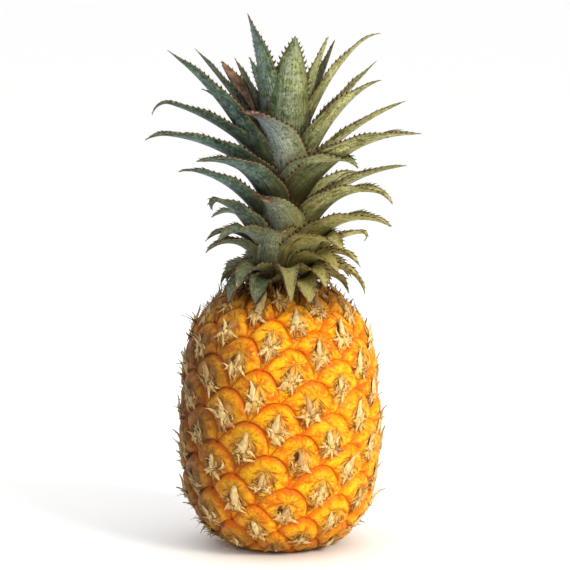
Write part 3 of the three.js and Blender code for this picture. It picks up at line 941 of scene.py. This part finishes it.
# %% Bracts round the neck and the foot
# How many; from and to which distance; the lift there; the size; the seed; how far sunk
NECK_BAND = (380, (129, 160), (0.25, 1.1), 0.95, SEED + 4, 0.4)
RUFF_BAND = (110, (150, 165), (0.9, 2.0), 1.5, SEED + 9, 0.4)
FOOT_BAND = (26, (7, 19), (0.7, 0.2), 1.1, SEED + 5, 0.5)
# The least and the most of what is drawn: degrees round, height, lift, turn and size
BAND_LIMITS = ((-8, -0.5, -0.25, -0.8, 0.7), (8, 1, 0.25, 0.8, 1.3))


def band_seats(count, distances, lifts, size, seed, sunk):
    """Seats drawn at random in a band of the outline."""
    draws = np.random.default_rng(seed)
    seats = []
    for i in range(count):
        share = (i + 0.5) / count
        slip, height, lift, turn, scale = draws.uniform(*BAND_LIMITS).tolist()
        spot = (i * GOLDEN_ANGLE + slip, between(*distances, share))
        lift = between(*lifts, share) + lift
        seats.append(seat(spot, height, turn, lift, sunk, size * scale))
    return seats


neck_seats = band_seats(*NECK_BAND) + band_seats(*RUFF_BAND)
for name, seats in (("neck_bracts", neck_seats), ("foot_bracts", band_seats(*FOOT_BAND))):
    scatter_piece(name, seats, "scrap", "brown", SEED + 6)

# %% [markdown]
# ## The leaves of the crown
# A crown leaf is a stiff tapering blade, hollow above like a gutter. Its foot clasps
# the short stem, and it leaves the stem at one angle and curves over to another. Each
# front leaf is one row of numbers, read from the photograph: which way it points, how
# high its foot is, how steeply it starts, how much it bends and where, its length, its
# width, and for some how fast it narrows, how hooked its tip is and how it sways. The
# leaves behind follow two seeded spirals: one up the stem, and one of short leaves that
# droop round the neck.

# %% The leaves of the crown
CROWN_AT = Vector((2, 0, 137))
CROWN_STEM = [(16.5, 0), (17.5, 6), (15.5, 24), (12, 44), (7, 62)]
CROWN_STEM_TOP = 67
LEAF_SINK = 4.5  # how far a leaf's foot starts inside the stem
SHEATH_SHARE = 0.16  # the part of a leaf that clasps the stem
SHEATH_ANGLE = 86
HOOK_SHARE = 0.15
FOOT_WIDTH_SHARE = 0.6
GUTTER_FOOT = 64  # half the arc of the section, in degrees
GUTTER_TIP = 42
LEAF_FIELDS = "azimuth foot lift bend late length width taper hook sway".split()
USUAL_LEAF = {"taper": 2.3, "hook": 0, "sway": 0}  # for what a row leaves out
FRONT_LEAVES = [
    (-60, 46, 63, 30, 1.4, 99.5, 27, 1.9), (-108, 60, 57, 12, 1.5, 78, 14),
    (-132, 58, 57, 10, 1.5, 71, 23, 3.2), (-112, 60, 70, 10, 1.5, 63, 16),
    (-75, 48, 66, 31, 2, 68, 17, 2.3, 20), (-66, 54, 47.5, 38, 1.2, 87, 20, 2.3, 90),
    (-60, 46, 50, 50, 0.9, 86, 24, 2.3, 30), (-42, 36, 69, 76, 1, 64, 26, 2.6, 0, -20),
    (-62, 28, 60, 56, 1.1, 64.5, 22, 2.3, 20), (-58, 14, 62, 60, 2, 51, 26, 2.6, 130),
    (-80, 14, 64, 116, 1.4, 38, 16), (-68, 9, 62, 112, 1.4, 39, 17),
    (-40, 12, 66, 104, 1.3, 46, 23, 2.6, 0, -12), (-86, 3, 54, 136, 1.1, 28, 14),
    (-60, 1, 48, 120, 1.1, 28, 14), (80, 58, 69.8, 38, 2.2, 90, 18, 2.3, 25),
    (104, 58, 55, 13, 1.5, 75, 15), (56, 46, 67, 44, 1.5, 84, 23, 2.3, 10),
    (80, 50, 47, 26, 1.5, 76, 18), (50, 38, 58, 58, 0.9, 97, 28),
    (42, 41, 67, 90, 1.3, 56, 30, 2.6, 30, 20), (75, 31, 47.5, 42, 1.2, 67, 19),
    (50, 20, 60, 86, 1.4, 74, 27, 2.3, 35, 8), (52, 11, 62, 83, 1.1, 66, 27, 2.3, 10, 10),
    (80, 7, 60, 70, 1.3, 44, 16, 2.3, 150), (74, 7, 62, 124, 1.2, 36, 16),
    (80, 2, 46, 130, 1.2, 41, 14), (45, 7, 62, 122, 1.1, 33, 22),
    (-28, 46, 82, 15, 1.5, 98, 23, 2.6, 0, -30), (12, 36, 84, 9, 1.5, 95, 26, 5, 0, 6),
    (60, 50, 81, 17, 2, 82, 18, 2.6), (112, 55, 74, 8, 1.5, 76, 20),
    (-8, 38, 82, 70, 2.2, 66, 34, 3.2, 0, -75), (-6, 11, 82, 72, 2, 48, 33, 3.2, 0, -75),
    (34, 4, 74, 112, 1.3, 50, 30, 2.6, 0, 10), (-12, 2, 80, 96, 2.4, 40, 36, 3, 0, 34),
    (4, 1, 48, 124, 1.2, 52, 17, 1.9), (-38, 2, 56, 128, 1.2, 34, 20),
    (34, 2, 56, 128, 1.2, 34, 18), (-24, 0, 46, 124, 1, 31, 20),
    (22, 0, 46, 124, 1, 31, 22), (-52, 0, 46, 124, 1, 32, 18),
]
DRYNESS = {32: 1.2, 33: 1.4, 2: 4}  # two dried tips, and a leaf that is brown all over
# How pale (+) or dark (-) each front leaf is drawn: partly its own bloom and partly painted light
# and shade, darker where a leaf stands in shadow.
LEAF_TONE_AND_SHADE = {1: -0.6, 2: -0.4, 3: -0.8, 4: -0.4, 16: -0.2, 20: 0.5, 28: -0.1, 29: 0.1}
LEAF_TONE_AND_SHADE.update({30: 0.2, 31: -1, 32: 0.8, 33: 0.4, 34: -0.2, 35: 0.2, 36: 0.2})  # + is pale
# Leaves behind: how many, over how wide a turn, and the first and last of each range
BACK_LEAVES = {"count": 13, "spread": 140, "foot": (2, 62), "lift": (54, 78)}
BACK_LEAVES.update(bend=(124, 12), late=(1.2, 1.6), length=(32, 66), width=(12, 20))
BACK_NECK_LEAVES = {"count": 7, "spread": 150, "foot": (0, 3), "lift": (46, 56)}
BACK_NECK_LEAVES.update(bend=(124, 124), late=(1, 1.2), length=(30, 34), width=(18, 24))
BACK_JITTER = 4  # degrees
BACK_SEED = 7
DRAW_FACTOR = 16807
DRAW_RANGE = 2147483647
LONGEST_AT = 0.75
GOLDEN_SHARE = 0.618034


def leaves_by_rule(rule):
    """A spiral of leaves behind, whose draws come from a small seeded sequence."""
    state = BACK_SEED
    leaves = []
    for i in range(rule["count"]):
        q = i / (rule["count"] - 1)
        draws = []
        for _ in range(2):
            state = state * DRAW_FACTOR % DRAW_RANGE
            draws.append(BACK_JITTER * (state / DRAW_RANGE - 0.5))
        leaf = {key: between(*rule[key], q) for key in ("foot", "lift", "bend", "late")}
        leaf["azimuth"] = 180 + rule["spread"] * (i * GOLDEN_SHARE % 1 - 0.5) + draws[0]
        leaf["lift"] += draws[1]
        longer = math.sin(min(1, q / LONGEST_AT) * math.pi / 2)
        leaf["length"] = between(*rule["length"], longer)
        leaf["width"] = between(*rule["width"], math.sin(q * math.pi))
        leaves.append({**USUAL_LEAF, **leaf})
    return leaves


all_leaves = [{**USUAL_LEAF, **dict(zip(LEAF_FIELDS, row))} for row in FRONT_LEAVES]
all_leaves += leaves_by_rule(BACK_LEAVES) + leaves_by_rule(BACK_NECK_LEAVES)
print(len(all_leaves), "leaves")

# %% [markdown]
# ## The path and the section of a leaf
# The leaf's middle line is walked in small steps, each in the direction that the leaf
# has there. Its section is an arc that stays as wide as the leaf and is flatter towards
# the tip. The blade is thick along the middle and thin at its edges, so it is built as
# a closed shell with an inner and an outer side. Fine ribs run along it.

# %% The path and the section of a leaf
LEAF_STATIONS = 46
LEAF_ACROSS = 12
PATH_SUBSTEPS = 8
BLADE_MIDDLE = 1.5
BLADE_EDGE = 0.5
BLADE_TIP = 0.5
LEAF_POINT = 0.12  # half the width that a leaf keeps at its very tip
RIB_HEIGHT = 0.1
RIBS = 6
EDGE_WAVE = 0.35
EDGE_WAVES = 23


def stem_radius(height):
    radii, heights = zip(*CROWN_STEM)
    return float(np.interp(height, heights, radii))


def leaf_lean(leaf, t):
    """The angle of the leaf over the horizon, in degrees."""
    sheath = max(0, 1 - t / SHEATH_SHARE) ** 2
    hook = max(0, (t - 1 + HOOK_SHARE) / HOOK_SHARE)
    angle = leaf["lift"] + (SHEATH_ANGLE - leaf["lift"]) * sheath
    return angle - leaf["bend"] * t ** leaf["late"] - leaf["hook"] * hook


def leaf_axes(leaf, t):
    """The directions along the leaf, across it and out of its inner side."""
    angle = math.radians(leaf_lean(leaf, t))
    level = outward(leaf["azimuth"] + leaf["sway"] * t * t)
    up = np.array([0, 0, 1.0])
    along = level * math.cos(angle) + up * math.sin(angle)
    inner = up * math.cos(angle) - level * math.sin(angle)
    return along, np.cross(along, inner), inner


def leaf_half(leaf, t):
    sheath = FOOT_WIDTH_SHARE + (1 - FOOT_WIDTH_SHARE) * min(1, t / SHEATH_SHARE)
    return leaf["width"] / 2 * sheath * max(0, 1 - t ** leaf["taper"])


def leaf_rows(leaf, wave):
    """The shell's rows of points, in millimetres: a ring round the blade at each station."""
    start = stem_radius(leaf["foot"]) - LEAF_SINK
    place = outward(leaf["azimuth"]) * start + np.array([0, 0, leaf["foot"]])
    step = 1 / LEAF_STATIONS / PATH_SUBSTEPS
    across_places = np.linspace(-1, 1, LEAF_ACROSS + 1)
    rows = []
    for station in range(LEAF_STATIONS + 1):
        t = station / LEAF_STATIONS
        along, across, inner = leaf_axes(leaf, t)
        half = max(leaf_half(leaf, t), LEAF_POINT)
        arc = math.radians(between(GUTTER_FOOT, GUTTER_TIP, t))
        reach = half * np.sin(arc * across_places) / arc
        hollow = half * (1 - np.cos(arc * across_places)) / arc
        ripple = EDGE_WAVE * np.sin(wave + EDGE_WAVES * t + across_places) * across_places**4
        ribs = RIB_HEIGHT * np.cos(across_places * math.pi * RIBS) * (1 - across_places**2)
        thick = between(BLADE_EDGE, between(BLADE_MIDDLE, BLADE_TIP, t), 1 - across_places**2)
        taper = min(1, half / 2)
        top = place + np.outer(reach, across) + np.outer(hollow + (ripple + ribs) * taper, inner)
        low = top - np.outer(thick * (0.3 + 0.7 * taper), inner)
        rows.append(np.concatenate([top, low[::-1]]))
        for sub in range(PATH_SUBSTEPS):
            direction = leaf_axes(leaf, t + (sub + 0.5) * step)[0]
            place = place + direction * leaf["length"] * step
    return np.array(rows)


def tube_faces(rings, sides, first=0):
    """The faces of a closed tube whose points go round it ring by ring."""
    faces = []
    for low in range(first, first + (rings - 1) * sides, sides):
        for i in range(sides):
            a, b = low + i, low + (i + 1) % sides
            faces.append((a, b, b + sides, a + sides))
    last = first + (rings - 1) * sides
    faces.append(tuple(range(first + sides - 1, first - 1, -1)))
    faces.append(tuple(range(last, last + sides)))
    return faces


ring_count = 2 * (LEAF_ACROSS + 1)
print("a leaf has", LEAF_STATIONS * ring_count, "faces")

# %% The leaves as one mesh, and their margins
def leaf_shells():
    """All leaves as one mesh, with where each point is on its leaf."""
    draws = np.random.default_rng(SEED + 7)
    points, faces, margins = [], [], []
    span = np.linspace(-1, 1, LEAF_ACROSS + 1)
    stations = LEAF_STATIONS + 1
    values = {
        "along": [np.repeat(np.linspace(0, 1, stations), ring_count)] * len(all_leaves),
        "across": [np.tile(np.concatenate([span, span[::-1]]), stations)] * len(all_leaves),
        "inner": [np.tile(np.repeat([1.0, 0.0], len(span)), stations)] * len(all_leaves),
    }
    drawn_values = {"leaf": [], "dead": [], "tone_and_shade": []}
    for order, leaf in enumerate(all_leaves):
        rows = (leaf_rows(leaf, draws.uniform(0, 6)) + np.array(CROWN_AT)) * MM
        faces += tube_faces(stations, ring_count, order * stations * ring_count)
        points.append(rows.reshape(-1, 3))
        drawn_values["leaf"].append(draws.uniform())
        drawn_values["dead"].append(DRYNESS.get(order, draws.uniform(0, 0.6) ** 2))
        drawn_values["tone_and_shade"].append(LEAF_TONE_AND_SHADE.get(order, draws.uniform(-0.3, 0.3)))
        for spot in (0, LEAF_ACROSS):
            edge = (rows[:, spot] + rows[:, ring_count - 1 - spot]) / 2
            margins.append((edge, edge - rows[:, LEAF_ACROSS // 2], leaf))
    mesh = mesh_of("crown_leaves", np.concatenate(points), faces)
    for name, blocks in values.items():
        store(mesh, name, np.concatenate(blocks))
    for name, numbers in drawn_values.items():
        store(mesh, name, np.repeat(numbers, stations * ring_count))
    return mesh, margins


leaves_mesh, margins = leaf_shells()
print("leaves", len(leaves_mesh.polygons), "faces")

# %% [markdown]
# ## The finish of the leaves
# The leaves are waxy and grey-green. Painted light makes them bluer on the left, as in
# cool shade, and more olive and golden on the right, where the warm light falls. A pale
# bloom of tiny scales lies mostly on the outer side, dark ticks and flecks cross the
# blade, painted shade darkens the foot and the deep middle of the crown, the margin is a
# thin brown line, and some tips have dried. That follows how far along and across the
# leaf a place is, and two numbers kept with each leaf: how pale or dark it is, partly its
# own tone and partly painted light and shade, and how dry.

# %% The finish of the leaves
def paint_leaf(graph):
    rise = graph.rise
    place = graph.place()
    side, deep, height = graph.parts(place)
    names = ("along", "across", "leaf", "inner", "dead", "tone_and_shade")
    along, across, leaf, inner, dead, tone_and_shade = graph.attributes(*names)

    def flow(wide, long, shift, *grain):
        """Noise that is drawn out along the leaf, and differs from leaf to leaf."""
        return graph.noise(graph.vector(across * wide, along * long, leaf * 40 + shift), *grain)

    strands = flow(9, 2.2, 0, 2.2, 5, 0.65)
    fine = flow(40, 3, 0, 1.5, 2)
    bands = flow(0.6, 16, 9, 1.4, 3)
    squiggles = flow(4, 26, 30, 1.5, 3)
    flecks = flow(7, 14, 20, 1.6, 4, 0.7)
    fibres = flow(12, 2.5, 50, 2, 4, 0.7)
    mottle = graph.noise(place, 160, 4, 0.65)
    grain = graph.noise(place, 640, 3, 0.6)

    tone = rise(strands * 0.5 + mottle * 0.5, 0.39, 0.6)
    middle = rise(abs(across), 0.85, 0.2) * rise(along, 0.05, 0.3)
    bloom = middle * rise(bands + 0.6 * (fine - 0.5), 0.3, 0.7) * (0.65 - 0.5 * inner)
    # Painted light: the bloom is bluer on the left, as in cool shade, and yellower on the right,
    # where the warm light falls.
    haze = graph.mix(rise(side, -0.012, 0.016), (158, 176, 190), (204, 206, 156))
    edge = rise(abs(across) + (mottle - 0.5) * 0.6, 0.6, 0.95)
    ticks = rise(abs(squiggles - 0.5), 0.035, 0.012) * rise(mottle, 0.46, 0.54)
    pale_foot = rise(along + (strands - 0.5) * 0.2, 0.42, 0.06)
    # Painted shade at each leaf's foot, under the leaves above it.
    shadow = rise(along + (strands - 0.5) * 0.3, 0.55, 0.15)
    # Golden streaks low on the crown are the leaves' own colour; they are made stronger on the
    # right as painted warm light.
    golden = rise(height, 0.2, 0.155) * (0.35 + 0.65 * rise(side, -0.012, 0.008))
    # Distance from the crown's axis, for painted shade deep in the middle of the crown.
    reach = ((side - 0.002) ** 2 + deep**2) ** 0.5
    ragged = (strands - 0.5) * 0.25 + (mottle - 0.5) * 0.2 * (1 + dead)
    dry = rise(along + ragged + 0.16 * dead, 0.97, 1.05)
    brown = graph.mix(rise(mottle, 0.4, 0.62), (60, 36, 22), (192, 146, 112))
    colour = graph.layers(
        graph.mix(tone, (6, 30, 22), (110, 146, 122)),
        # Painted light: olive past the middle and pale yellow on the right where the warm light
        # falls; the left stays blue-green as in cool shade.
        (rise(side, -0.024, 0.014), graph.mix(tone, (34, 50, 14), (132, 150, 80))),
        (rise(side, 0.0, 0.034), graph.mix(tone, (92, 96, 28), (250, 246, 166))),
        (bloom, haze),
        # Each leaf is made paler or darker by its number: partly its own tone, partly painted
        # light and shade.
        (rise(tone_and_shade, 0, 1) * 0.7, haze),
        (rise(tone_and_shade, 0, -1) * 0.75, (34, 38, 12)),
        (edge * 0.3, (36, 52, 26)),
        (rise(fine, 0.54, 0.36) * 0.6, (26, 40, 16)),
        (ticks * 0.85, (22, 26, 8)),
        (rise(grain, 0.46, 0.36) * 0.45, (30, 36, 12)),
        (rise(grain, 0.56, 0.68) * 0.3, (206, 196, 140)),
        (rise(flecks, 0.6, 0.68) * 0.75, (24, 36, 14)),
        (pale_foot * 0.25, (176, 160, 92)),
        (shadow * 0.7, (14, 24, 8)),
        (golden * rise(fibres, 0.4, 0.56) * 0.6, (190, 166, 88)),
        (golden * rise(fibres, 0.44, 0.34) * 0.5, (30, 38, 22)),
        (rise(reach, 0.02, 0.011) * 0.6, (34, 34, 14)),
        (rise(abs(across), 0.93, 1.0) * 0.6, (128, 104, 64)),
        (dry * 0.9, graph.mix(rise(dead, 2, 4) * 0.6, brown, (84, 56, 22))),
    )
    normal = graph.bump(0.4, 0.4, fine + strands * 0.6)
    return {"Base Color": colour, "Roughness": 0.42 + 0.2 * strands + 0.2 * dry, "Normal": normal}


leaf_finish = sheen_finish("waxy_leaf", paint_leaf, Specular_IOR_Level=0.3)
finish_piece("crown_leaves", leaves_mesh, leaf_finish, "crown")

# %% [markdown]
# ## The spines of the leaves
# A small hooked spine stands every few millimetres along both margins of a leaf and
# points to its tip. A Geometry Nodes tree follows the margins: it makes each a curve,
# puts points on it at an even pitch, and stands a spine on each, turned outwards by a
# direction kept with the margin.

# %% The shape of a spine
SPINE_LENGTH = 1.9
SPINE_BASE = 1.7
SPINE_THICK = 0.8
SPINE_PITCH = 2.9
SPINE_FOOT_FREE = 0.12
SPINE_TIP_FREE = 0.97


def spine_shape():
    """A four-sided hooked cone. It stands along +X and leans towards +Y."""
    rings = [(-0.35, 0, 1), (0.45, 0.3, 0.62), (0.8, 0.75, 0.28)]
    points = []
    for out, lean, share in rings:
        for x, y in ((-1, 0), (0, -1), (1, 0), (0, 1)):
            along = lean * SPINE_LENGTH * 0.7 + x * share * SPINE_BASE / 2
            points.append((out * SPINE_LENGTH, along, y * share * SPINE_THICK / 2))
    points.append((0.92 * SPINE_LENGTH, 1.1 * SPINE_LENGTH, 0))
    faces = [(3, 2, 1, 0)]
    for ring in (0, 4):
        for i in range(4):
            j = (i + 1) % 4
            faces.append((ring + i, ring + j, ring + j + 4, ring + i + 4))
    for i in range(4):
        faces.append((8 + i, 8 + (i + 1) % 4, 12))
    mesh = mesh_of("spine", np.array(points) * MM, faces)
    close_and_face_out(mesh)
    store(mesh, "along", [0] * 4 + [0.4] * 4 + [0.8] * 4 + [1])
    return bpy.data.objects.new("spine", mesh)


spine = spine_shape()
print("a spine has", len(spine.data.polygons), "faces")

# %% Spines along the margins
def spine_tree():
    inputs = {"Spine": "Object", "Pitch": "Float", "Seed": "Int", "Finish": "Material"}
    graph, value = tree_of("spines_on_margins", **inputs)
    curve = graph.node("GeometryNodeMeshToCurve", {"Mesh": value["Geometry"]})
    sockets = {"Curve": curve, "Length": value["Pitch"]}
    even = graph.node("GeometryNodeResampleCurve", sockets, mode="LENGTH")
    ahead = graph.node("GeometryNodeInputTangent")
    sockets = {0: ahead, 1: named(graph, "out", "FLOAT_VECTOR")}
    settings = {"primary_axis": "Y", "secondary_axis": "X"}
    turn = graph.node("FunctionNodeAxesToRotation", sockets, **settings)
    shape = graph.node("GeometryNodeObjectInfo", {"Object": value["Spine"]}, "Geometry")
    size = named(graph, "size", "FLOAT") * random_share(graph, 0.7, 1.15, value["Seed"])
    sockets = {"Points": even, "Instance": shape, "Rotation": turn, "Scale": size}
    return finish_tree(graph, value, sockets)


def margin_mesh():
    """The margins as lines, with the direction out of the leaf and the size of a spine."""
    points, edges, outs, sizes = [], [], [], []
    first_station = round(SPINE_FOOT_FREE * LEAF_STATIONS)
    last_station = round(SPINE_TIP_FREE * LEAF_STATIONS)
    for edge, out, leaf in margins:
        for station in range(first_station, last_station + 1):
            if station > first_station:
                edges.append((len(points) - 1, len(points)))
            points.append(edge[station])
            outs.append(out[station] / max(1e-6, np.linalg.norm(out[station])))
            sizes.append(min(1.1, 0.45 + leaf_half(leaf, station / LEAF_STATIONS) / 9))
    mesh = mesh_of("margins", points, [], edges)
    store(mesh, "out", outs, kind="FLOAT_VECTOR")
    store(mesh, "size", sizes)
    return mesh


def paint_spine(graph):
    along, tint = graph.attributes("along", "tint")
    foot = graph.mix(tint, (80, 56, 32), (124, 88, 50))
    colour = graph.mix(graph.rise(along, 0, 0.45), foot, (46, 26, 16))
    return {"Base Color": colour, "Roughness": 0.45 + 0.2 * tint}


spine_finish = sheen_finish("brown_spine", paint_spine)
values = {"Spine": spine, "Pitch": SPINE_PITCH * MM, "Seed": SEED + 8, "Finish": spine_finish}
spines_mesh = grown("leaf_spines", margin_mesh(), spine_tree(), **values)
finish_piece("leaf_spines", spines_mesh, spine_finish, "crown")

# %% [markdown]
# ## The stem of the crown, and the cut stem
# The leaves stand on a short tapering stem, which shows only in the gaps between their
# feet. The cut stem under the fruit keeps its solid and gets a finish: pale rings and
# dark dots of fibres, seen end on.

# %% The stem of the crown
STEM_SIDES = 48
STEM_RINGS = 40
STEM_SLACK = 3.2  # the leaves' feet stand this far out of the bare stem


def crown_stem_mesh():
    points = []
    top = CROWN_STEM[-1][1]
    for height in np.linspace(0, CROWN_STEM_TOP, STEM_RINGS):
        radius = stem_radius(height) - STEM_SLACK
        dome = max(0, height - top) / (CROWN_STEM_TOP - top)
        radius *= math.sqrt(max(0.02, 1 - dome))
        for angle in np.linspace(0, 2 * math.pi, STEM_SIDES, endpoint=False):
            ridge = 0.25 * math.sin(13 * angle + height) + 0.3 * math.sin(height * 1.3)
            reach = radius + ridge
            points.append((reach * math.cos(angle), reach * math.sin(angle), height))
    points = (np.array(points) + np.array(CROWN_AT)) * MM
    return mesh_of("crown_stem", points, tube_faces(STEM_RINGS, STEM_SIDES))


def paint_stem(graph):
    place = graph.place()
    fibres = graph.noise(graph.scaled(place, 900, 900, 120), 1, 4)
    colour = graph.mix(fibres, (104, 92, 46), (190, 176, 116))
    normal = graph.bump(0.4, 0.5, fibres)
    return {"Base Color": colour, "Roughness": 0.6 + 0.2 * fibres, "Normal": normal}


stem_finish = sheen_finish("pale_green_stem", paint_stem)
finish_piece("crown_stem", crown_stem_mesh(), stem_finish, "crown")

# %% The cut stem
def paint_cut(graph):
    place = graph.place()
    x, y, _ = graph.parts(place)
    radius = (x * x + y * y) ** 0.5
    wobble = graph.noise(place, 220, 3)
    rings = graph.rise(graph.noise(graph.vector(radius * 900, wobble, 0), 1, 2), 0.35, 0.65)
    cells = {"Vector": place, "Scale": 700}
    dots = graph.node("ShaderNodeTexVoronoi", cells, "Distance")
    colour = graph.layers(
        graph.mix(rings, (150, 112, 62), (206, 178, 122)),
        (graph.rise(dots, 0.35, 0.15) * 0.7, (92, 60, 30)),
        (graph.rise(radius, 8.2 * MM, 9.6 * MM) * 0.7, (104, 78, 42)),
    )
    normal = graph.bump(0.5, 0.4, dots + wobble)
    return {"Base Color": colour, "Roughness": 0.65 + 0.2 * wobble, "Normal": normal}


stub = bpy.data.objects["stem_stub"]
cut_finish = sheen_finish("cut_stem_fibres", paint_cut)
if not stub.material_slots:
    stub.data.materials.append(cut_finish)
for stub_slot in stub.material_slots:
    stub_slot.material = cut_finish
print("cut stem finished")

# %% [markdown]
# ## Tidy
# The flap and spine shapes were only patterns for the scattered copies, so they go.

# %% Tidy
for kept in flaps.values():
    for pattern in list(kept.objects):
        bpy.data.objects.remove(pattern)
    bpy.data.collections.remove(kept)
bpy.data.objects.remove(spine)
